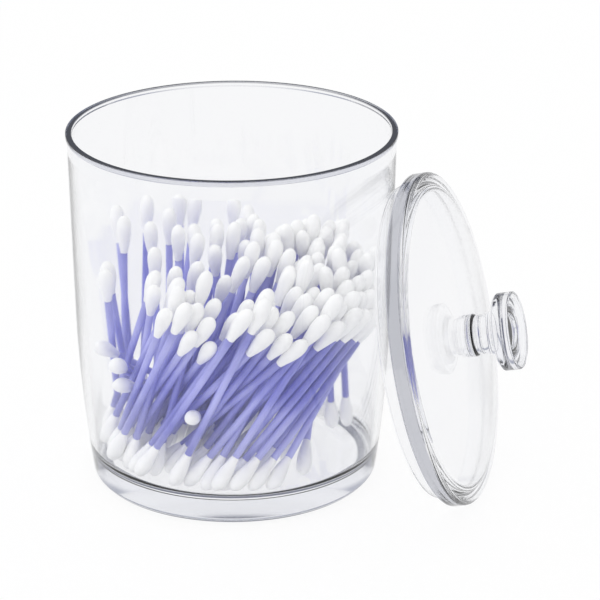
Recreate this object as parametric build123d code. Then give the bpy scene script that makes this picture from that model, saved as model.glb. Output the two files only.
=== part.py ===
from build123d import *
import math
import os

import numpy as np

# A clear lidded canister for a bathroom shelf, standing open, with the cotton swabs that it holds.
# Millimetres. The origin is the middle of the jar's underside, +Z is up, and the lid leans on the +X side.

# Jar
jar_height = 118.6
rim_radius = 53.5
rim_width = 2.0
rim_side_height = 1.4
rim_proud = 0.45
rim_edge_radius = 0.25
plug_land_depth = 6.4
belly_height = 60.0
belly_radius = 51.9
belly_wall = 2.1
foot_radius = 47.0
foot_edge_radius = 2.3
floor_thickness = 8.0
floor_wall = 2.2
floor_corner_radius = 5.5

# Lid
lid_radius = 54.2
lid_edge_height = 5.0
lid_crown_rise = 6.2
lid_wall = 2.2
lid_shoulder_radius = 1.8
lid_back_edge_radius = 0.4
plug_depth = 4.5
plug_wall = 2.0
plug_clearance = 0.3
plug_tip_radius = 0.6
plug_root_radius = 2.0

# Knob
knob_radius = 12.6
knob_reach = 15.8
knob_head_thickness = 5.8
knob_edge_radius = 1.0
knob_face_edge_radius = 0.7
knob_face_rise = 0.8
knob_neck_radius = 6.25
knob_collar_radius = 6.95
knob_collar_height = 2.6

# How the lid leans on the jar, in degrees from upright, and the gap where it touches the wall
lid_lean_deg = 13.0
lid_rest_gap = 0.2
lid_touch_tries = 91

# Cotton swabs
swab_length = 75.0
stick_radius = 1.2
bud_radius = 2.6
bud_length = 13.0
bud_neck_radius = 1.4
bud_tip_radius = 1.5
bud_widest_share = 0.35
swab_tip_inset_share = 0.55
swab_gap = 0.35
swab_wall_gap = 0.45
swab_sides = 6

# The heap, seen from a front that is turned a little: its swabs stand on the left and the middle of the
# floor, fewer of them at the back left, and lean more the nearer they stand to the front and to the right.
# Stretches of the floor over which something grows are shares of the floor's reach, and leans are shares
# of a swab's length.
heap_turn_deg = 14.4
heap_seed = 8
heap_spacing_share = 1.08
heap_right_limit_share = 0.52
heap_right_slope = 0.3
heap_thinned_share = 0.35
front_stretch_shares = (0.5, -0.6)
back_stretch_shares = (-0.1, 0.4)
right_stretch_shares = (-0.7, 0.2)
far_right_stretch_shares = (-0.2, 0.5)
thinned_stretch_shares = (0.5, -0.1)
lean_least_share = -0.04
lean_right_share = 0.35
lean_front_share = 0.42
lean_far_share = 0.6
lean_near_share = 0.4
lean_back_share = 0.35
lean_limit_share = 0.8
lean_across_scatter_share = 0.12
lean_deep_scatter_share = 0.12

# Swabs that lie across the others: places of their upper and lower ends, as shares of the floor's reach
crossing_high_shares = [
    (-0.86, -0.53, 1.09),
    (-0.87, -0.49, 0.93),
    (-0.74, -0.70, 0.97),
    (-0.19, -1.0, 0.88),
]
crossing_low_shares = [
    (-0.40, 0.80, 0.26),
    (-0.55, 0.72, 0.26),
    (-0.20, 0.75, 0.26),
    (0.02, 0.52, 0.26),
]

# How the heap settles
settle_steps = 2400
settle_near_steps = 8
settle_near_share = 3.0
settle_warm_share = 0.3
settle_pull_share = 0.02
settle_sink_share = 0.02
settle_weight_share = 0.05
settle_weighted_share = 0.85
settle_push_share = 1.3
settle_slack_share = 0.2
bud_probe_shares = [0.0, 0.22, 0.5, 0.8]
end_weight_share = 0.05
parallel_share = 1e-9

# Worked out from the sizes above
mouth_radius = rim_radius - rim_width
rim_side_foot = jar_height - rim_side_height
wall_top_radius = rim_radius - rim_proud
wall_top_height = rim_side_foot - rim_proud
land_height = jar_height - plug_land_depth
plug_radius = mouth_radius - plug_clearance
crown_radius = (lid_radius**2 + lid_crown_rise**2) / (2 * lid_crown_rise)
crown_height = lid_edge_height + lid_crown_rise
crown_middle_height = crown_height - crown_radius


def tangent_circle(start, toward, end):
    """Middle and radius of the circle that leaves start along toward and passes through end."""
    start, end = Vector(*start), Vector(*end)
    along = Vector(*toward).normalized()
    normal = Vector(-along.Y, along.X)
    chord = end - start
    radius = chord.dot(chord) / (2 * chord.dot(normal))
    return start + normal * radius, abs(radius)


def outer_radius(height):
    """Outer radius of the jar: its rim, a straight draft above the belly, a large arc below it."""
    belly, foot, top = (belly_radius, belly_height), (foot_radius, 0), (wall_top_radius, wall_top_height)
    if height >= wall_top_height:
        return rim_radius
    if height >= belly_height:
        rise = (height - belly_height) / (wall_top_height - belly_height)
        return belly_radius + (wall_top_radius - belly_radius) * rise
    middle, radius = tangent_circle(belly, (belly[0] - top[0], belly[1] - top[1]), foot)
    side = math.copysign(1, belly_radius - middle.X)
    return middle.X + side * math.sqrt(radius**2 - (height - middle.Y) ** 2)


floor_radius = outer_radius(floor_thickness) - floor_wall
belly_inner_radius = belly_radius - belly_wall


def nearest_corner(outline, x, y):
    """The corner of a flat outline that lies nearest to a place."""
    return min(outline.vertices(), key=lambda corner: (Vector(corner) - Vector(x, y)).length)


def turned(lines, rounds):
    """A solid turned about Z from an outline drawn with X as radius and Y as height.

    Each entry of rounds is the place of a corner and the radius that it is rounded to.
    """
    outline = make_face(lines)
    for x, y, radius in rounds:
        outline = fillet(nearest_corner(outline, x, y), radius)
    return revolve(Plane.XZ * outline, axis=Axis.Z)


def jar():
    """The moulded jar: thick floor, drafted wall with a drawn-in foot, and a flat rim that stands proud."""
    foot = (foot_radius, 0)
    belly = (belly_radius, belly_height)
    outer_draft = (belly_radius - wall_top_radius, belly_height - wall_top_height)
    top = (wall_top_radius, wall_top_height)
    rim_edge = (rim_radius, jar_height)
    mouth_edge = (mouth_radius, jar_height)
    land = (mouth_radius, land_height)
    belly_inside = (belly_inner_radius, belly_height)
    floor_edge = (floor_radius, floor_thickness)
    inner_draft = (belly_inner_radius - mouth_radius, belly_height - land_height)
    lines = [
        Line((0, 0), foot),
        TangentArc(belly, foot, tangent=outer_draft),
        Line(belly, top),
        Line(top, (rim_radius, rim_side_foot)),
        Line((rim_radius, rim_side_foot), rim_edge),
        Line(rim_edge, mouth_edge),
        Line(mouth_edge, land),
        Line(land, belly_inside),
        TangentArc(belly_inside, floor_edge, tangent=inner_draft),
        Line(floor_edge, (0, floor_thickness)),
        Line((0, floor_thickness), (0, 0)),
    ]
    rounds = [
        (*foot, foot_edge_radius),
        (*floor_edge, floor_corner_radius),
        (*rim_edge, rim_edge_radius),
        (*mouth_edge, rim_edge_radius),
    ]
    return turned(lines, rounds)


def crown_at(radius, depth=0):
    """Height of the lid's domed crown at a radius, or of the surface that lies a depth under it."""
    return crown_middle_height + math.sqrt((crown_radius - depth) ** 2 - radius**2)


def lid():
    """The moulded lid with its knob, upright: its rim's back face at zero, the plug below it."""
    plug_inner = plug_radius - plug_wall
    root = crown_at(plug_inner, lid_wall)
    collar_foot = crown_at(knob_neck_radius)
    collar_top = collar_foot + knob_collar_height
    face_edge = crown_height + knob_reach
    underside = face_edge - knob_head_thickness
    flare_radius = knob_radius - knob_edge_radius - knob_neck_radius
    flare_foot = underside - flare_radius
    quarter = math.sqrt(0.5)
    flare_middle = (
        knob_neck_radius + flare_radius * (1 - quarter),
        flare_foot + flare_radius * quarter,
    )
    edge_middle = (
        knob_radius - knob_edge_radius * (1 - quarter),
        underside + knob_edge_radius * (1 - quarter),
    )
    lines = [
        ThreePointArc(
            (0, crown_height - lid_wall),
            (plug_inner / 2, crown_at(plug_inner / 2, lid_wall)),
            (plug_inner, root),
        ),
        Line((plug_inner, root), (plug_inner, -plug_depth)),
        Line((plug_inner, -plug_depth), (plug_radius, -plug_depth)),
        Line((plug_radius, -plug_depth), (plug_radius, 0)),
        Line((plug_radius, 0), (lid_radius, 0)),
        Line((lid_radius, 0), (lid_radius, lid_edge_height)),
        ThreePointArc(
            (lid_radius, lid_edge_height),
            (lid_radius / 2, crown_at(lid_radius / 2)),
            (knob_neck_radius, collar_foot),
        ),
        ThreePointArc(
            (knob_neck_radius, collar_foot),
            (knob_collar_radius, (collar_foot + collar_top) / 2),
            (knob_neck_radius, collar_top),
        ),
        Line((knob_neck_radius, collar_top), (knob_neck_radius, flare_foot)),
        ThreePointArc(
            (knob_neck_radius, flare_foot),
            flare_middle,
            (knob_neck_radius + flare_radius, underside),
        ),
        ThreePointArc(
            (knob_neck_radius + flare_radius, underside),
            edge_middle,
            (knob_radius, underside + knob_edge_radius),
        ),
        Line((knob_radius, underside + knob_edge_radius), (knob_radius, face_edge)),
        TangentArc((0, face_edge + knob_face_rise), (knob_radius, face_edge), tangent=(1, 0)),
        Line((0, face_edge + knob_face_rise), (0, crown_height - lid_wall)),
    ]
    rounds = [
        (plug_inner, root, plug_root_radius),
        (plug_inner, -plug_depth, plug_tip_radius),
        (plug_radius, -plug_depth, plug_tip_radius),
        (lid_radius, 0, lid_back_edge_radius),
        (lid_radius, lid_edge_height, lid_shoulder_radius),
        (knob_radius, face_edge, knob_face_edge_radius),
    ]
    return turned(lines, rounds)


def lid_place():
    """Where the lid leans: its back edge on the ground, the nearest part of its plug's tip by the jar."""
    lean = math.radians(lid_lean_deg)
    sine, cosine = math.sin(lean), math.cos(lean)
    edge = lid_radius - lid_back_edge_radius
    height = edge * cosine - lid_back_edge_radius * sine + lid_back_edge_radius
    tip_ring, tip_back = plug_radius - plug_tip_radius, plug_depth - plug_tip_radius
    away = 0
    for turn in np.linspace(0, math.pi / 2, lid_touch_tries):
        up, side = tip_ring * math.cos(turn), tip_ring * math.sin(turn)
        touch = height + up * cosine - tip_back * sine
        reach = outer_radius(touch) + lid_rest_gap + plug_tip_radius
        if touch < jar_height + plug_tip_radius and side < reach:
            away = max(away, math.sqrt(reach**2 - side**2) + up * sine + tip_back * cosine)
    return Plane(origin=(away, 0, height), x_dir=(0, 1, 0), z_dir=(cosine, 0, sine)).location


# The ends of a swab's axis lie a little inside its tips
tip_inset = bud_radius * swab_tip_inset_share
axis_length = swab_length - 2 * tip_inset
bud_widest = bud_length * bud_widest_share
low_probe_shares = np.array(bud_probe_shares) * (bud_length - tip_inset) / axis_length
probe_shares = np.concatenate([low_probe_shares, 1 - low_probe_shares])


def swab_radius(share):
    """Radius of a swab at a share of its axis, the same from either end."""
    along = tip_inset + np.minimum(share, 1 - share) * axis_length
    inset_radius = bud_tip_radius + (bud_radius - bud_tip_radius) * tip_inset / bud_widest
    places = [tip_inset, bud_widest, bud_length, bud_length + stick_radius / 2]
    return np.interp(along, places, [inset_radius, bud_radius, bud_neck_radius, stick_radius])


def grown(places, reach, stretch_shares):
    """Nought to one with soft ends, over a stretch between two shares of the reach."""
    start, end = stretch_shares
    grown_share = np.clip((places / reach - start) / (end - start), 0, 1)
    return grown_share * grown_share * (3 - 2 * grown_share)


def held_within(limit, across, deep):
    """Shares that bring places further out than a limit back to it, one where they lie inside."""
    return np.minimum(1, limit / np.hypot(across, deep))


def heap_start():
    """First places of the swabs' axes, before they are settled: low ends on the floor, tops leaning."""
    reach = floor_radius - bud_radius - swab_wall_gap
    spacing = heap_spacing_share * 2 * bud_radius
    count = int(math.pi * reach**2 / spacing**2)
    turn = math.pi * (3 - math.sqrt(5))
    step = np.arange(count) + 0.5
    across = spacing * np.sqrt(step / math.pi) * np.cos(step * turn)
    deep = spacing * np.sqrt(step / math.pi) * np.sin(step * turn)
    kept = across < heap_right_limit_share * reach + heap_right_slope * deep
    across, deep = across[kept], deep[kept]
    draw = np.random.default_rng(heap_seed)
    back_left = grown(deep, reach, back_stretch_shares) * grown(across, reach, thinned_stretch_shares)
    kept = draw.random(len(across)) >= heap_thinned_share * back_left
    across, deep = across[kept], deep[kept]
    front = grown(deep, reach, front_stretch_shares)
    back = grown(deep, reach, back_stretch_shares)
    right = grown(across, reach, right_stretch_shares)
    far_right = grown(across, reach, far_right_stretch_shares)
    lean_across = lean_least_share + lean_right_share * right + lean_front_share * front
    lean_across += draw.normal(0, lean_across_scatter_share, len(across))
    lean_deep = lean_far_share * far_right * front - lean_near_share * (1 - right) * (1 - back)
    lean_deep -= lean_back_share * right * back
    lean_deep += draw.normal(0, lean_deep_scatter_share, len(across))
    top_across, top_deep = across + lean_across * swab_length, deep + lean_deep * swab_length
    held = held_within(belly_inner_radius - bud_radius - swab_wall_gap, top_across, top_deep)
    side_across, side_deep = top_across * held - across, top_deep * held - deep
    held = held_within(lean_limit_share * axis_length, side_across, side_deep)
    side_across, side_deep = side_across * held, side_deep * held
    low = np.full(len(across), floor_thickness + bud_radius)
    high = low + np.sqrt(axis_length**2 - side_across**2 - side_deep**2)
    lows = np.column_stack([across, deep, low])
    highs = np.column_stack([across + side_across, deep + side_deep, high])
    lows = np.concatenate([lows, np.array(crossing_low_shares) * reach])
    highs = np.concatenate([highs, np.array(crossing_high_shares) * reach])
    sine, cosine = math.sin(math.radians(heap_turn_deg)), math.cos(math.radians(heap_turn_deg))
    turned_axes = np.array([[cosine, sine, 0], [-sine, cosine, 0], [0, 0, 1]])
    return np.stack([lows @ turned_axes, highs @ turned_axes], axis=1)


def nearest_shares(low_a, along_a, low_b, along_b):
    """Shares along two sets of straight stretches at which each pair comes nearest."""
    apart = low_a - low_b
    aa, bb = (along_a * along_a).sum(1), (along_b * along_b).sum(1)
    ab, a_apart, b_apart = (along_a * along_b).sum(1), (along_a * apart).sum(1), (along_b * apart).sum(1)
    spread = np.maximum(aa * bb - ab * ab, parallel_share * aa * bb)
    share_a = np.clip((ab * b_apart - bb * a_apart) / spread, 0, 1)
    share_b = np.clip((ab * share_a + b_apart) / bb, 0, 1)
    return np.clip((ab * share_b - a_apart) / aa, 0, 1), share_b


class Pushes:
    """The shifts that one round of settling gathers for the two ends of every swab."""

    def __init__(self, count):
        self.shift = np.zeros((count, 2, 3))
        self.weight = np.zeros((count, 2, 1))

    def at(self, swab, share, move):
        """Ask that the point at a share of each swab's axis moves by a vector."""
        for end, weight in ((0, 1 - share), (1, share)):
            lever = weight / ((1 - share) ** 2 + share**2)
            np.add.at(self.shift, (swab, end), move * lever[:, None])
            np.add.at(self.weight, (swab, end), (weight > end_weight_share)[:, None] * 1.0)

    def between(self, swab_a, share_a, swab_b, share_b, ends):
        """Ask that two points of two swabs part until their radii and the gap fit between them."""
        point_a = ends[swab_a, 0] * (1 - share_a)[:, None] + ends[swab_a, 1] * share_a[:, None]
        point_b = ends[swab_b, 0] * (1 - share_b)[:, None] + ends[swab_b, 1] * share_b[:, None]
        apart = point_b - point_a
        distance = np.linalg.norm(apart, axis=1)
        lack = swab_radius(share_a) + swab_radius(share_b) + swab_gap - distance
        hit = lack > 0
        move = apart[hit] * (lack[hit] / (2 * distance[hit]))[:, None]
        self.at(swab_a[hit], share_a[hit], -move)
        self.at(swab_b[hit], share_b[hit], move)
        return lack.max(initial=0)

    def into_jar(self, share, ends):
        """Ask that the point at a share of every swab's axis keeps clear of the jar's inside."""
        point = ends[:, 0] * (1 - share) + ends[:, 1] * share
        radius = swab_radius(share) + swab_wall_gap
        out = np.hypot(point[:, 0], point[:, 1])
        wall_heights = [floor_thickness, belly_height, jar_height]
        wall_radii = [floor_radius, belly_inner_radius, mouth_radius]
        wall = np.interp(point[:, 2], wall_heights, wall_radii) - radius
        corner_out = np.maximum(out - (floor_radius - floor_corner_radius), 0)
        corner_down = np.maximum(floor_thickness + floor_corner_radius - point[:, 2], 0)
        corner = np.maximum(np.hypot(corner_out, corner_down), radius)
        past = np.maximum(corner - (floor_corner_radius - radius), 0) * (corner_out > 0) * (corner_down > 0)
        inward = np.maximum(np.maximum(out - wall, past * corner_out / corner), 0)
        lift = np.maximum(floor_thickness + radius - point[:, 2], past * corner_down / corner)
        lift = np.maximum(lift, 0)
        hit = (inward > 0) | (lift > 0)
        flat = -point[:, :2] * (inward / np.maximum(out, radius))[:, None]
        move = np.column_stack([flat, lift])[hit]
        self.at(np.nonzero(hit)[0], np.full(hit.sum(), share), move)
        return max(inward.max(initial=0), lift.max(initial=0))


def settled(ends):
    """The swabs' axes once all lie clear of each other and of the jar, sunk as low as that allows."""
    goal = ends.copy()
    one, other = np.triu_indices(len(ends), 1)
    for step in range(settle_steps):
        warm = max(0, 1 - step / (settle_warm_share * settle_steps))
        low, along = ends[:, 0], ends[:, 1] - ends[:, 0]
        if step % settle_near_steps == 0:
            share_a, share_b = nearest_shares(low[one], along[one], low[other], along[other])
            apart = low[one] + along[one] * share_a[:, None] - low[other] - along[other] * share_b[:, None]
            near = np.linalg.norm(apart, axis=1) < settle_near_share * bud_radius
            near_a, near_b = one[near], other[near]
        pushes = Pushes(len(ends))
        share_a, share_b = nearest_shares(low[near_a], along[near_a], low[near_b], along[near_b])
        worst = pushes.between(near_a, share_a, near_b, share_b, ends)
        swab_a, swab_b = np.concatenate([near_a, near_b]), np.concatenate([near_b, near_a])
        for probe in probe_shares:
            share_a = np.full(len(swab_a), probe)
            point = low[swab_a] + along[swab_a] * probe
            share_b = ((point - low[swab_b]) * along[swab_b]).sum(1) / axis_length**2
            worst = max(worst, pushes.between(swab_a, share_a, swab_b, np.clip(share_b, 0, 1), ends))
            worst = max(worst, pushes.into_jar(probe, ends))
        ends = ends + pushes.shift / np.maximum(pushes.weight, 1) * settle_push_share
        ends = ends + (goal - ends) * settle_pull_share * warm
        weight = settle_weight_share * (step < settle_weighted_share * settle_steps)
        ends[:, :, 2] -= settle_sink_share * bud_radius * max(warm, weight)
        middle = ends.mean(axis=1, keepdims=True)
        half = ends[:, 1:] - middle
        half = half * (axis_length / 2) / np.linalg.norm(half, axis=2, keepdims=True)
        ends = np.concatenate([middle - half, middle + half], axis=1)
        if warm == 0 and worst < swab_gap * settle_slack_share:
            break
    return ends


def spindle(rings):
    """A closed solid of flat faces through rings of one side count, each a radius and a height."""
    turns = [2 * math.pi * side / swab_sides for side in range(swab_sides)]
    loops = [[Vector(r * math.cos(t), r * math.sin(t), z) for t in turns] for r, z in rings]
    outlines = [loops[0], loops[-1]]
    for lower, upper in zip(loops, loops[1:]):
        for side in range(swab_sides):
            following = (side + 1) % swab_sides
            outlines.append([lower[side], lower[following], upper[following], upper[side]])
    faces = [Face(Wire.make_polygon(outline, close=True)) for outline in outlines]
    return Solid(Shell(faces))


def swab_parts(ends):
    """The stick and the two cotton buds of every swab, as two lists of solids."""
    half = swab_length / 2
    stick = spindle([(stick_radius, bud_length - half), (stick_radius, half - bud_length)])
    bud = spindle([
        (bud_neck_radius, half - bud_length),
        (bud_radius, half - bud_widest),
        (bud_tip_radius, half),
    ])
    sticks, buds = [], []
    for low, high in ends:
        along = Vector(*(high - low))
        middle = Vector(*((low + high) / 2))
        place = Plane(origin=middle, z_dir=along)
        sticks.append(place.location * stick)
        buds.append(place.location * bud)
        buds.append(Plane(origin=middle, z_dir=-along).location * bud)
    return sticks, buds


def main():
    os.makedirs("parts", exist_ok=True)
    sticks, buds = swab_parts(settled(heap_start()))
    nodes = {
        "jar": jar(),
        "lid": lid_place() * lid(),
        "swab_sticks": Compound(children=sticks),
        "swab_buds": Compound(children=buds),
    }
    for name, shape in nodes.items():
        export_step(shape, f"parts/{name}.step")


main()
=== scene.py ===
import math

import bmesh
import bpy
import numpy as np
from mathutils import Matrix, Vector, noise


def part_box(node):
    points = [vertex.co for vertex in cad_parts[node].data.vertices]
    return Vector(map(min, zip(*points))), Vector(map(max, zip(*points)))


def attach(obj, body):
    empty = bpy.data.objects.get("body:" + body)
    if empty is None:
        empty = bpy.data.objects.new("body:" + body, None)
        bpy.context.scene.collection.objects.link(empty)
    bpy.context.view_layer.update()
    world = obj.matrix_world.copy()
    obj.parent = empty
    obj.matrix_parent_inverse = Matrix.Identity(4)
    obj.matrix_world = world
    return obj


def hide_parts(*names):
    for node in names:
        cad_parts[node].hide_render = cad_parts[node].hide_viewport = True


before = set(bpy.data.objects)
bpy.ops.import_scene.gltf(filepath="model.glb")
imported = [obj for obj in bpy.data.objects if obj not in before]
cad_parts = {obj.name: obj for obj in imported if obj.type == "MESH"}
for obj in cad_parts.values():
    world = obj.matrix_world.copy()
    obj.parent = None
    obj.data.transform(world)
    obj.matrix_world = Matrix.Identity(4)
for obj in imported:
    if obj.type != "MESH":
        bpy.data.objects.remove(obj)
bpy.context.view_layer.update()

# A clear lidded canister with cotton swabs. Metres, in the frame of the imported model.
jar_low, jar_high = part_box("jar")
lid_low, lid_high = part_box("lid")
scene = bpy.context.scene

# Jar
rim_radius = jar_high.x
jar_height = jar_high.z
rim_width = 0.0020
rim_side_height = 0.0014
rim_proud = 0.00045
rim_edge_radius = 0.00025
rim_nook_radius = 0.00015
plug_land_depth = 0.0064
belly_height = 0.0600
belly_radius = 0.0519
belly_wall = 0.0021
foot_radius = 0.0470
foot_edge_radius = 0.0040
floor_thickness = 0.0080
floor_wall = 0.0022
floor_corner_radius = 0.0055

# Lid
lid_radius = lid_high.y
lid_edge_height = 0.0050
lid_crown_rise = 0.0062
lid_wall = 0.0022
lid_shoulder_radius = 0.0018
lid_back_edge_radius = 0.0004
lid_nook_radius = 0.0003
lid_lean_deg = 13.0
plug_depth = 0.0045
plug_wall = 0.0020
plug_clearance = 0.0003
plug_tip_radius = 0.0006
plug_root_radius = 0.0020

# Knob
knob_radius = 0.0126
knob_reach = 0.0158
knob_head_thickness = 0.0058
knob_edge_radius = 0.0010
knob_face_edge_radius = 0.0007
knob_face_rise = 0.0008
knob_neck_radius = 0.00625
knob_collar_radius = 0.00695
knob_collar_height = 0.0026
knob_nook_radius = 0.0002

# Swabs
bud_length = 0.0130
bud_hidden_length = 0.0015
bud_radius = 0.00252
bud_neck_radius = 0.00128
bud_widest_share = 0.66
bud_rise_power = 1.25
bud_cap_power = 2.3
bud_stoutness = (0.95, 1.02)
bud_seed = 11
bud_noise_reach = 50
bud_dents = 0.045
bud_dent_scales = (1.1, 0.9)
bud_fluff = 0.018
bud_fluff_scales = (3.5, 3.0)
stick_radius = 0.00118

# Clear plastic: its own colour, how it greys with each metre of the way through it, its polish, and the
# painted shade that darkens it at the rim, the foot and the lid
plastic_colour = (0.985, 0.988, 0.995, 1.0)
plastic_depth_colour = (0.05, 0.12, 0.34, 1.0)
plastic_depth_density = 1.6
# Painted shade: a near-black line on the rim's top, strongest at its two sides
rim_painted_shade_colour = (0.012, 0.018, 0.040, 1.0)
rim_painted_shade_least_share = 0.68
# Painted shade: a grey band on the rim's upright outer side
rim_side_painted_shade_colour = (0.60, 0.61, 0.68, 1.0)
# Painted shadow: a dark ring on the foot and the outer underside, where the jar meets the floor
foot_painted_shadow_colour = (0.035, 0.04, 0.07, 1.0)
# Painted shade: a grey band on the lid's upright edge
lid_edge_painted_shade_colour = (0.36, 0.37, 0.42, 1.0)
foot_ring_radius = 0.0420
foot_ring_height = 0.0016
edge_fade = 0.0002
polish_roughness = 0.08
polish_scale = 40
plastic_ior = 1.5

# Sticks: satin violet-blue plastic
stick_low_colour = (0.18, 0.19, 0.68, 1.0)
stick_high_colour = (0.49, 0.50, 0.92, 1.0)
stick_colour_scale = 34
stick_roughness = 0.38
stick_ior = 1.49
stick_grain_scale = 900
stick_grain = 0.15
stick_grain_height = 0.0001

# Cotton: white, rough, with fine fibres
cotton_low_colour = (0.95, 0.95, 0.95, 1.0)
cotton_high_colour = (0.99, 0.99, 0.985, 1.0)
cotton_colour_scale = 250
cotton_colour_detail = 4
cotton_roughness = 0.9
cotton_shine = 0.1
cotton_sheen = 0.15
cotton_sheen_roughness = 0.5
fibre_scale = 2500
fibre_detail = 5
fibre_roughness = 0.6
fibre_strength = 0.4
fibre_height = 0.0002

# Stage: colours that clear plastic sees, by the sine of the height above the horizon or by the distance
white = (1.0, 1.0, 1.0, 1.0)
floor_size = 6.0
floor_gap = 0.0002
floor_colour = (0.97, 0.97, 0.97, 1.0)
floor_roughness = 0.7
floor_glow_share = 0.92
floor_near_colour = (0.95, 0.95, 0.955)
floor_far_colour = (0.90, 0.90, 0.92)
floor_near_share = 0.15
floor_far_share = 0.4
room_bands = [
    (0.00, (0.93, 0.93, 0.94)),
    (0.20, (0.93, 0.93, 0.94)),
    (0.26, (0.40, 0.42, 0.50)),
    (0.36, (0.40, 0.42, 0.50)),
    (0.40, (0.93, 0.93, 0.95)),
]

# The dark end of the room, which clear plastic sees: where it lies, where it starts and how softly
dark_from = (0.25, -0.90, 0.35)
dark_least = 0.40
dark_fade = 0.20
dark_colour = (0.15, 0.16, 0.22, 1.0)

# Soft light on what isn't clear: where it mostly comes from, its level, and how far it swings to each side
light_from = (-0.60, -0.35, 0.72)
light_level = 0.80
light_swing = 0.50

# Light bounces: longer ways by reflection inside the plastic end dark, as its strokes do in the photograph
soft_bounces = 8
mirror_bounces = 6

# Camera: the photograph's view, with its focal length in pixels of the photograph
camera_azimuth_deg = 15.19
camera_elevation_deg = 21.32
camera_distance = 0.9
camera_near = 0.05
camera_aim = Vector((0.02111, 0.00573, 0.05945))
focal_pixels = 2733.8
photo_pixels = 600

# Fineness of the meshes
turn_steps = 288
arc_steps = 32
round_steps = 8
support_gap = 0.00015
stick_sides = 14
bud_sides = 20
bud_rings = 14
weld_share = 0.01


def unit(vector):
    return vector / math.hypot(*vector)


def straight(start, end):
    """A straight stretch of an outline; a point close to each end keeps its shading flat."""
    start, end = np.array(start, float), np.array(end, float)
    near = unit(end - start) * support_gap
    return [start, start + near, end - near, end]


def curved(start, toward, end, steps=arc_steps):
    """A stretch along the circle that leaves start along toward and passes through end."""
    start, end = np.array(start, float), np.array(end, float)
    toward = unit(np.array(toward, float))
    normal = np.array([-toward[1], toward[0]])
    chord = end - start
    radius = chord @ chord / (2 * chord @ normal)
    turn = 2 * math.atan2(chord @ normal, chord @ toward)
    angles = [turn * step / steps for step in range(steps + 1)]
    return [start + radius * (toward * math.sin(a) + normal * (1 - math.cos(a))) for a in angles]


def joined(stretches, radii):
    """One outline from stretches that meet end to end, each corner rounded by its radius or left."""
    outline = stretches[0]
    for stretch, radius in zip(stretches[1:], radii):
        corner = outline[-1]
        if radius == 0:
            outline = outline + stretch[1:]
            continue
        back, ahead = unit(outline[-2] - corner), unit(stretch[1] - corner)
        half = math.acos(back @ ahead) / 2
        cut = radius / math.tan(half)
        middle = corner + unit(back + ahead) * radius / math.sin(half)
        first, last = corner + back * cut, corner + ahead * cut
        sweep = math.pi - 2 * half
        shares = [step / round_steps for step in range(round_steps + 1)]
        one, other = (first - middle) / math.sin(sweep), (last - middle) / math.sin(sweep)
        bend = [middle + one * math.sin((1 - s) * sweep) + other * math.sin(s * sweep) for s in shares]
        kept = [p for p in outline if math.dist(p, corner) > cut + 2 * support_gap]
        after = [p for p in stretch if math.dist(p, corner) > cut + 2 * support_gap]
        outline = kept + [first + back * support_gap] + bend + [last + ahead * support_gap] + after
    return outline


def new_object(name, bm, material, values=()):
    """A smooth mesh object from bm, with its material and named values of its vertices."""
    mesh = bpy.data.meshes.new(name)
    bm.to_mesh(mesh)
    bm.free()
    for label, numbers in values:
        mesh.attributes.new(label, "FLOAT", "POINT").data.foreach_set("value", numbers)
    mesh.polygons.foreach_set("use_smooth", [True] * len(mesh.polygons))
    mesh.materials.append(material)
    piece = bpy.data.objects.new(name, mesh)
    scene.collection.objects.link(piece)
    return piece


def ring_faces(bm, rings):
    """Faces between rings of vertices; a ring of one vertex is a pole."""
    for low, high in zip(rings, rings[1:]):
        sides = max(len(low), len(high))
        for side in range(sides):
            following = (side + 1) % sides
            if len(low) == 1:
                bm.faces.new((low[0], high[following], high[side]))
            elif len(high) == 1:
                bm.faces.new((low[side], low[following], high[0]))
            else:
                bm.faces.new((low[side], low[following], high[following], high[side]))


def turned(name, outline, material, place=Matrix.Identity(4)):
    """A piece turned about its Z axis from an outline of radius and height that begins and ends on it.

    Its vertices keep their radius and height, so that materials can tell the piece's edges and paint shade
    on them.
    """
    bm = bmesh.new()
    turns = [2 * math.pi * step / turn_steps for step in range(turn_steps)]
    rings = []
    for radius, height in outline:
        if radius < support_gap / 2:
            rings.append([bm.verts.new((0, 0, height))])
        else:
            ring = [(radius * math.cos(t), radius * math.sin(t), height) for t in turns]
            rings.append([bm.verts.new(corner) for corner in ring])
    ring_faces(bm, rings)
    bmesh.ops.recalc_face_normals(bm, faces=bm.faces)
    values = [
        ("section_radius", [math.hypot(vert.co.x, vert.co.y) for vert in bm.verts]),
        ("section_height", [vert.co.z for vert in bm.verts]),
    ]
    bm.transform(place)
    return new_object(name, bm, material, values)


def jar_outline():
    """The jar's section from the middle of its underside, up the outside, over the rim and down inside."""
    mouth_radius = rim_radius - rim_width
    rim_side_foot = jar_height - rim_side_height
    wall_top = (rim_radius - rim_proud, rim_side_foot - rim_proud)
    rim_foot, rim_edge = (rim_radius, rim_side_foot), (rim_radius, jar_height)
    mouth_edge = (mouth_radius, jar_height)
    foot, belly = (foot_radius, 0), (belly_radius, belly_height)
    land = (mouth_radius, jar_height - plug_land_depth)
    belly_inside = (belly_radius - belly_wall, belly_height)
    wall = curved(belly, (belly[0] - wall_top[0], belly[1] - wall_top[1]), foot)
    wall_radii, wall_heights = [p[0] for p in wall[::-1]], [p[1] for p in wall[::-1]]
    floor_radius = np.interp(floor_thickness, wall_heights, wall_radii) - floor_wall
    floor_edge = (floor_radius, floor_thickness)
    inner_draft = (belly_inside[0] - land[0], belly_inside[1] - land[1])
    inner_wall = curved(belly_inside, inner_draft, floor_edge)
    stretches = [
        straight((0, 0), foot),
        wall[::-1],
        straight(belly, wall_top),
        straight(wall_top, rim_foot),
        straight(rim_foot, rim_edge),
        straight(rim_edge, mouth_edge),
        straight(mouth_edge, land),
        straight(land, belly_inside),
        inner_wall,
        straight(floor_edge, (0, floor_thickness)),
    ]
    rim_radii = [rim_nook_radius, rim_nook_radius, rim_edge_radius, rim_edge_radius]
    return joined(stretches, [foot_edge_radius, 0, *rim_radii, 0, 0, floor_corner_radius])


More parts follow.
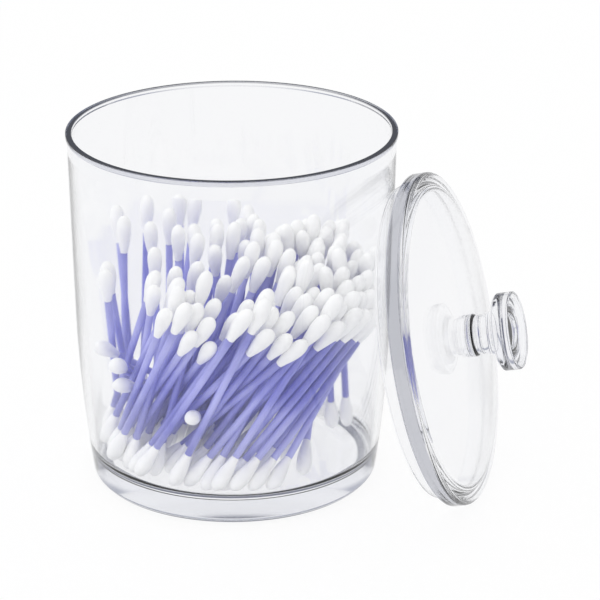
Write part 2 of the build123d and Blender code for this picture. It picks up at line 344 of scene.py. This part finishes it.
def lid_outline():
    """The lid's section, its rim's back face at zero, from the dome's inside round to the knob's face."""
    plug_radius = rim_radius - rim_width - plug_clearance
    plug_inner = plug_radius - plug_wall
    crown_height = lid_edge_height + lid_crown_rise
    crown_radius = (lid_radius**2 + lid_crown_rise**2) / (2 * lid_crown_rise)
    crown_middle = crown_height - crown_radius

    def crown_at(radius, depth=0):
        return crown_middle + math.sqrt((crown_radius - depth) ** 2 - radius**2)

    root = (plug_inner, crown_at(plug_inner, lid_wall))
    collar_foot = crown_at(knob_neck_radius)
    collar_top = collar_foot + knob_collar_height
    face_edge = crown_height + knob_reach
    underside = face_edge - knob_head_thickness
    flare_radius = knob_radius - knob_edge_radius - knob_neck_radius
    flare_foot = (knob_neck_radius, underside - flare_radius)
    flare_end = (knob_neck_radius + flare_radius, underside)
    edge_end = (knob_radius, underside + knob_edge_radius)
    bulge = knob_collar_radius - knob_neck_radius
    collar_reach = knob_collar_height / 2
    collar_half = 2 * math.atan2(bulge, collar_reach)
    crown = curved((0, crown_height), (1, 0), (lid_radius, lid_edge_height))
    face = curved((0, face_edge + knob_face_rise), (1, 0), (knob_radius, face_edge))
    stretches = [
        curved((0, crown_height - lid_wall), (1, 0), root),
        straight(root, (plug_inner, -plug_depth)),
        straight((plug_inner, -plug_depth), (plug_radius, -plug_depth)),
        straight((plug_radius, -plug_depth), (plug_radius, 0)),
        straight((plug_radius, 0), (lid_radius, 0)),
        straight((lid_radius, 0), (lid_radius, lid_edge_height)),
        [p for p in crown[::-1] if p[0] > knob_neck_radius] + [np.array((knob_neck_radius, collar_foot))],
        curved(
            (knob_neck_radius, collar_foot),
            (math.sin(collar_half), math.cos(collar_half)),
            (knob_neck_radius, collar_top),
        ),
        straight((knob_neck_radius, collar_top), flare_foot),
        curved(flare_foot, (0, 1), flare_end),
        curved(flare_end, (1, 0), edge_end),
        straight(edge_end, (knob_radius, face_edge)),
        face[::-1],
    ]
    radii = [
        plug_root_radius,
        plug_tip_radius,
        plug_tip_radius,
        lid_nook_radius,
        lid_back_edge_radius,
        lid_shoulder_radius,
        knob_nook_radius,
        knob_nook_radius,
        0,
        0,
        0,
        knob_face_edge_radius,
    ]
    return joined(stretches, radii)


def lid_place(outline):
    """Where the lid leans, from the box of its solid and its own outline."""
    lean = math.radians(lid_lean_deg)
    sine, cosine = math.sin(lean), math.cos(lean)
    away = lid_high.x - max(radius * sine + height * cosine for radius, height in outline)
    lift = lid_low.z + max(radius * cosine - height * sine for radius, height in outline)
    across, out = Vector((0, 1, 0)), Vector((cosine, 0, sine))
    place = Matrix((across, out.cross(across), out)).transposed().to_4x4()
    place.translation = Vector((away, 0, lift))
    return place


def swab_axes():
    """The two ends of every stick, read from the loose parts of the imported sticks."""
    bm = bmesh.new()
    bm.from_mesh(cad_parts["swab_sticks"].data)
    bmesh.ops.remove_doubles(bm, verts=bm.verts, dist=stick_radius * weld_share)
    axes, seen = [], set()
    for start in bm.verts:
        if start in seen:
            continue
        part, queue = [], [start]
        seen.add(start)
        while queue:
            vert = queue.pop()
            part.append(vert.co.copy())
            for edge in vert.link_edges:
                other = edge.other_vert(vert)
                if other not in seen:
                    seen.add(other)
                    queue.append(other)
        far = max(part, key=lambda co: (co - part[0]).length)
        near = [co for co in part if (co - far).length > (co - part[0]).length]
        far = [co for co in part if (co - far).length <= (co - part[0]).length]
        axes.append((sum(near, Vector()) / len(near), sum(far, Vector()) / len(far)))
    bm.free()
    return axes


def tube(bm, origin, along, sections, sides, bump=None):
    """A closed round form along an axis; each section is a distance and a radius, the ends are poles."""
    turn = along.to_track_quat("Z", "Y").to_matrix()
    rings = []
    for distance, radius in sections:
        if radius == 0:
            rings.append([bm.verts.new(origin + along * distance)])
            continue
        ring = []
        for side in range(sides):
            angle = 2 * math.pi * side / sides
            out = turn @ Vector((math.cos(angle), math.sin(angle), 0))
            size = radius * (1 if bump is None else bump(distance, out))
            ring.append(bm.verts.new(origin + along * distance + out * size))
        rings.append(ring)
    ring_faces(bm, rings)


def swab_sticks(axes, material):
    """The plastic sticks, each a little way into its buds."""
    bm = bmesh.new()
    for low, high in axes:
        along = (high - low).normalized()
        length = (high - low).length
        ends = (-bud_hidden_length, length + bud_hidden_length)
        sections = [(ends[0], 0), (ends[0], stick_radius), (ends[1], stick_radius), (ends[1], 0)]
        tube(bm, low, along, sections, stick_sides)
    bmesh.ops.recalc_face_normals(bm, faces=bm.faces)
    return new_object("plastic_sticks", bm, material)


def bud_profile(share):
    """Radius of a bud at a share of its length from the stick's side, as a share of its largest."""
    neck = bud_neck_radius / bud_radius
    rise = math.sin(min(share / bud_widest_share, 1) * math.pi / 2) ** bud_rise_power
    past = max(0, (share - bud_widest_share) / (1 - bud_widest_share))
    cap = math.sqrt(max(0, 1 - past**bud_cap_power))
    return (neck + (1 - neck) * rise) * cap


def cotton_buds(axes, material):
    """Both buds of every swab: wound drops of cotton, each a little different."""
    draw = np.random.default_rng(bud_seed)
    bm = bmesh.new()
    shares = [0.5 - 0.5 * math.cos(math.pi * ring / bud_rings) for ring in range(bud_rings)]
    for low, high in axes:
        for end, other in ((low, high), (high, low)):
            along = (end - other).normalized()
            seed = Vector(draw.uniform(-bud_noise_reach, bud_noise_reach, 3))
            stout = draw.uniform(*bud_stoutness)

            def bump(distance, out, seed=seed):
                reach = distance / bud_radius
                broad = seed + out * bud_dent_scales[0] + along * reach * bud_dent_scales[1]
                fine = seed + out * bud_fluff_scales[0] + along * reach * bud_fluff_scales[1]
                return 1 + bud_dents * noise.noise(broad) + bud_fluff * noise.noise(fine)

            sections = [(bud_length * s, bud_radius * stout * bud_profile(s)) for s in shares]
            tube(bm, end, along, [(0, 0), *sections, (bud_length, 0)], bud_sides, bump)
    bmesh.ops.recalc_face_normals(bm, faces=bm.faces)
    return new_object("wound_cotton", bm, material)


def material_of(name):
    """A new node material, its tree and its Principled shader."""
    material = bpy.data.materials.new(name)
    material.use_nodes = True
    tree = material.node_tree
    return material, tree, tree.nodes["Principled BSDF"]


def math_node(tree, operation, first, second):
    """The output of a sum, product or like of two values, each a number or an output."""
    node = tree.nodes.new("ShaderNodeMath")
    node.operation = operation
    for socket, value in zip(node.inputs, (first, second)):
        if isinstance(value, (int, float)):
            socket.default_value = value
        else:
            tree.links.new(value, socket)
    return node.outputs[0]


def mixed_colour(tree, factor, first, second):
    """The output of a mix of two colours, each a tuple or an output."""
    node = tree.nodes.new("ShaderNodeMix")
    node.data_type = "RGBA"
    tree.links.new(factor, node.inputs["Factor"])
    for socket, value in zip((node.inputs["A"], node.inputs["B"]), (first, second)):
        if isinstance(value, tuple):
            socket.default_value = value
        else:
            tree.links.new(value, socket)
    return node.outputs["Result"]


def banded_colour(tree, factor, bands):
    """A colour that follows a factor through bands, each a position and a colour."""
    ramp = tree.nodes.new("ShaderNodeValToRGB")
    elements = ramp.color_ramp.elements
    while len(elements) < len(bands):
        elements.new(1.0)
    for element, (position, colour) in zip(elements, bands):
        element.position = position
        element.color = (*colour, 1)
    tree.links.new(factor, ramp.inputs["Fac"])
    return ramp.outputs["Color"]


def noise_node(tree, scale, detail=3, roughness=0.5):
    """Noise in the object's own coordinates."""
    place = tree.nodes.new("ShaderNodeTexCoord")
    texture = tree.nodes.new("ShaderNodeTexNoise")
    texture.inputs["Scale"].default_value = scale
    texture.inputs["Detail"].default_value = detail
    texture.inputs["Roughness"].default_value = roughness
    tree.links.new(place.outputs["Object"], texture.inputs["Vector"])
    return texture


def bump_node(tree, height, strength, distance):
    """Bump on the tree's Principled shader from a height output."""
    bump = tree.nodes.new("ShaderNodeBump")
    bump.inputs["Strength"].default_value = strength
    bump.inputs["Distance"].default_value = distance
    tree.links.new(height, bump.inputs["Height"])
    tree.links.new(bump.outputs["Normal"], tree.nodes["Principled BSDF"].inputs["Normal"])


def ramp_node(tree, factor, low, high, start=0.35, end=0.65):
    """A colour that goes from low to high with a factor."""
    ramp = tree.nodes.new("ShaderNodeValToRGB")
    ramp.color_ramp.elements[0].position = start
    ramp.color_ramp.elements[0].color = low
    ramp.color_ramp.elements[1].position = end
    ramp.color_ramp.elements[1].color = high
    tree.links.new(factor, ramp.inputs["Fac"])
    return ramp.outputs["Color"]


def above(tree, label, least):
    """One where a value of the section lies above the least, fading to nought just under it."""
    value = tree.nodes.new("ShaderNodeAttribute")
    value.attribute_name = label
    over = math_node(tree, "SUBTRACT", value.outputs["Fac"], least - edge_fade)
    share = math_node(tree, "DIVIDE", over, edge_fade)
    return math_node(tree, "MINIMUM", math_node(tree, "MAXIMUM", share, 0.0), 1.0)


def clear_plastic(name, edges):
    """Polished clear plastic with painted shade at its edges, each a function that gives its share and its
    colour.
    """
    material, tree, shader = material_of(name)
    colour = plastic_colour
    for edge, painted_shade_colour in edges:
        colour = mixed_colour(tree, edge(tree), colour, painted_shade_colour)
    tree.links.new(colour, shader.inputs["Base Color"])
    polish = math_node(tree, "MULTIPLY", noise_node(tree, polish_scale).outputs["Fac"], polish_roughness)
    tree.links.new(polish, shader.inputs["Roughness"])
    shader.inputs["IOR"].default_value = plastic_ior
    shader.inputs["Transmission Weight"].default_value = 1.0
    depth = tree.nodes.new("ShaderNodeVolumeAbsorption")
    depth.inputs["Color"].default_value = plastic_depth_colour
    depth.inputs["Density"].default_value = plastic_depth_density
    tree.links.new(depth.outputs[0], tree.nodes["Material Output"].inputs["Volume"])
    return material


def outer_faces(tree):
    """One where a surface is seen from outside the plastic."""
    return math_node(tree, "SUBTRACT", 1.0, tree.nodes.new("ShaderNodeNewGeometry").outputs["Backfacing"])


def painted_rim_shade(tree):
    """Painted shade on the rim's top, most of all at its two sides."""
    place = tree.nodes.new("ShaderNodeTexCoord")
    parts = tree.nodes.new("ShaderNodeSeparateXYZ")
    tree.links.new(place.outputs["Object"], parts.inputs[0])
    side = math_node(tree, "POWER", math_node(tree, "DIVIDE", parts.outputs["X"], rim_radius), 2.0)
    side = math_node(tree, "MULTIPLY", side, 1 - rim_painted_shade_least_share)
    share = math_node(tree, "ADD", side, rim_painted_shade_least_share)
    return math_node(tree, "MULTIPLY", share, above(tree, "section_height", jar_height - edge_fade))


def painted_rim_side_shade(tree):
    """Painted shade on the upright band under the rim's top."""
    high = above(tree, "section_height", jar_height - rim_side_height)
    side = above(tree, "section_radius", rim_radius - edge_fade)
    return math_node(tree, "MULTIPLY", outer_faces(tree), math_node(tree, "MULTIPLY", high, side))


def painted_foot_shadow(tree):
    """Painted shadow, a dark ring on the outer part of the underside and the foot's rounded edge."""
    low = math_node(tree, "SUBTRACT", 1.0, above(tree, "section_height", foot_ring_height))
    return math_node(tree, "MULTIPLY", low, above(tree, "section_radius", foot_ring_radius))


def painted_lid_edge_shade(tree):
    """Painted shade on the lid's upright edge."""
    edge = above(tree, "section_radius", lid_radius - edge_fade)
    return math_node(tree, "MULTIPLY", outer_faces(tree), edge)


def stick_plastic():
    """Satin violet-blue plastic, a little uneven along each stick."""
    material, tree, shader = material_of("stick_plastic_look")
    texture = noise_node(tree, stick_colour_scale)
    colour = ramp_node(tree, texture.outputs["Fac"], stick_low_colour, stick_high_colour)
    tree.links.new(colour, shader.inputs["Base Color"])
    shader.inputs["Roughness"].default_value = stick_roughness
    shader.inputs["IOR"].default_value = stick_ior
    grain = noise_node(tree, stick_grain_scale)
    bump_node(tree, grain.outputs["Fac"], stick_grain, stick_grain_height)
    return material


def cotton():
    """White wound cotton: rough, softly lit, with fine fibres."""
    material, tree, shader = material_of("cotton_look")
    texture = noise_node(tree, cotton_colour_scale, cotton_colour_detail)
    colour = ramp_node(tree, texture.outputs["Fac"], cotton_low_colour, cotton_high_colour)
    tree.links.new(colour, shader.inputs["Base Color"])
    shader.inputs["Roughness"].default_value = cotton_roughness
    shader.inputs["Specular IOR Level"].default_value = cotton_shine
    shader.inputs["Sheen Weight"].default_value = cotton_sheen
    shader.inputs["Sheen Roughness"].default_value = cotton_sheen_roughness
    fibres = noise_node(tree, fibre_scale, fibre_detail, fibre_roughness)
    bump_node(tree, fibres.outputs["Fac"], fibre_strength, fibre_height)
    return material


def add_floor():
    """The pale floor: white to the camera, a little greyer through the plastic and far away."""
    bpy.ops.mesh.primitive_plane_add(size=floor_size, location=(0, 0, -floor_gap))
    floor = bpy.context.object
    floor.name = "pale_floor"
    material, tree, shader = material_of("pale_floor_look")
    shader.inputs["Base Color"].default_value = floor_colour
    shader.inputs["Roughness"].default_value = floor_roughness
    place = tree.nodes.new("ShaderNodeTexCoord")
    reach = tree.nodes.new("ShaderNodeVectorMath")
    reach.operation = "LENGTH"
    tree.links.new(place.outputs["Object"], reach.inputs[0])
    far = math_node(tree, "DIVIDE", reach.outputs["Value"], floor_size / 2)
    near_bands = [(0.0, floor_near_colour), (floor_near_share, floor_near_colour)]
    through = banded_colour(tree, far, [*near_bands, (floor_far_share, floor_far_colour)])
    path = tree.nodes.new("ShaderNodeLightPath")
    glow = tree.nodes.new("ShaderNodeEmission")
    tree.links.new(mixed_colour(tree, path.outputs["Is Camera Ray"], through, white), glow.inputs["Color"])
    seen = math_node(tree, "MAXIMUM", path.outputs["Is Glossy Ray"], path.outputs["Is Transmission Ray"])
    seen = math_node(tree, "MAXIMUM", seen, path.outputs["Is Camera Ray"])
    blend = tree.nodes.new("ShaderNodeMixShader")
    tree.links.new(math_node(tree, "MULTIPLY", seen, floor_glow_share), blend.inputs["Fac"])
    tree.links.new(shader.outputs[0], blend.inputs[1])
    tree.links.new(glow.outputs[0], blend.inputs[2])
    tree.links.new(blend.outputs[0], tree.nodes["Material Output"].inputs["Surface"])
    floor.data.materials.append(material)


def facing(tree, place, direction):
    """How far the sky's direction points along another one, from minus one to one."""
    node = tree.nodes.new("ShaderNodeVectorMath")
    node.operation = "DOT_PRODUCT"
    tree.links.new(place.outputs["Generated"], node.inputs[0])
    node.inputs[1].default_value = Vector(direction).normalized()
    return node.outputs["Value"]


def add_world():
    """Soft light on cloth and sticks; clear plastic sees a pale room with a dim band and a dark end."""
    world = bpy.data.worlds.new("studio")
    world.use_nodes = True
    scene.world = world
    tree = world.node_tree
    place = tree.nodes.new("ShaderNodeTexCoord")
    parts = tree.nodes.new("ShaderNodeSeparateXYZ")
    tree.links.new(place.outputs["Generated"], parts.inputs[0])
    room = banded_colour(tree, parts.outputs["Z"], room_bands)
    dark = math_node(tree, "SUBTRACT", facing(tree, place, dark_from), dark_least)
    dark = math_node(tree, "DIVIDE", dark, dark_fade)
    dark = math_node(tree, "MINIMUM", math_node(tree, "MAXIMUM", dark, 0.0), 1.0)
    room = mixed_colour(tree, dark, room, dark_colour)
    light = math_node(tree, "MULTIPLY", facing(tree, place, light_from), light_swing)
    light = math_node(tree, "ADD", light, light_level)
    path = tree.nodes.new("ShaderNodeLightPath")
    on_cloth = math_node(tree, "MINIMUM", path.outputs["Diffuse Depth"], 1.0)
    plain = math_node(tree, "MAXIMUM", path.outputs["Is Camera Ray"], on_cloth)
    shader = tree.nodes["Background"]
    tree.links.new(mixed_colour(tree, plain, room, white), shader.inputs["Color"])
    level = tree.nodes.new("ShaderNodeMix")
    level.inputs["A"].default_value = 1.0
    tree.links.new(on_cloth, level.inputs["Factor"])
    tree.links.new(light, level.inputs["B"])
    tree.links.new(level.outputs["Result"], shader.inputs["Strength"])


def add_camera():
    """The photograph's view."""
    azimuth, elevation = math.radians(camera_azimuth_deg), math.radians(camera_elevation_deg)
    back = Vector((
        math.sin(azimuth) * math.cos(elevation),
        -math.cos(azimuth) * math.cos(elevation),
        math.sin(elevation),
    ))
    data = bpy.data.cameras.new("camera")
    data.lens = data.sensor_width * focal_pixels / photo_pixels
    data.clip_start = camera_near
    camera = bpy.data.objects.new("camera", data)
    camera.location = camera_aim + back * camera_distance
    camera.rotation_mode = "QUATERNION"
    camera.rotation_quaternion = back.to_track_quat("Z", "Y")
    scene.collection.objects.link(camera)
    scene.camera = camera


add_camera()
add_world()
add_floor()
scene.view_settings.view_transform = "Standard"
scene.cycles.blur_glossy = 0
scene.cycles.diffuse_bounces = soft_bounces
scene.cycles.glossy_bounces = mirror_bounces

jar_painted_shades = [(painted_rim_side_shade, rim_side_painted_shade_colour), (painted_rim_shade, rim_painted_shade_colour), (painted_foot_shadow, foot_painted_shadow_colour)]
jar_plastic = clear_plastic("jar_plastic_look", jar_painted_shades)
lid_plastic = clear_plastic("lid_plastic_look", [(painted_lid_edge_shade, lid_edge_painted_shade_colour)])
jar = turned("clear_jar", jar_outline(), jar_plastic)
lid_section = lid_outline()
lid = turned("clear_lid", lid_section, lid_plastic, lid_place(lid_section))
axes = swab_axes()
sticks = swab_sticks(axes, stick_plastic())
buds = cotton_buds(axes, cotton())

for piece, node, slot in (
    (jar, "jar", "clear_plastic"),
    (lid, "lid", "clear_plastic"),
    (sticks, "swab_sticks", "swab_stick"),
    (buds, "swab_buds", "cotton"),
):
    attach(piece, "root")
    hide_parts(node)
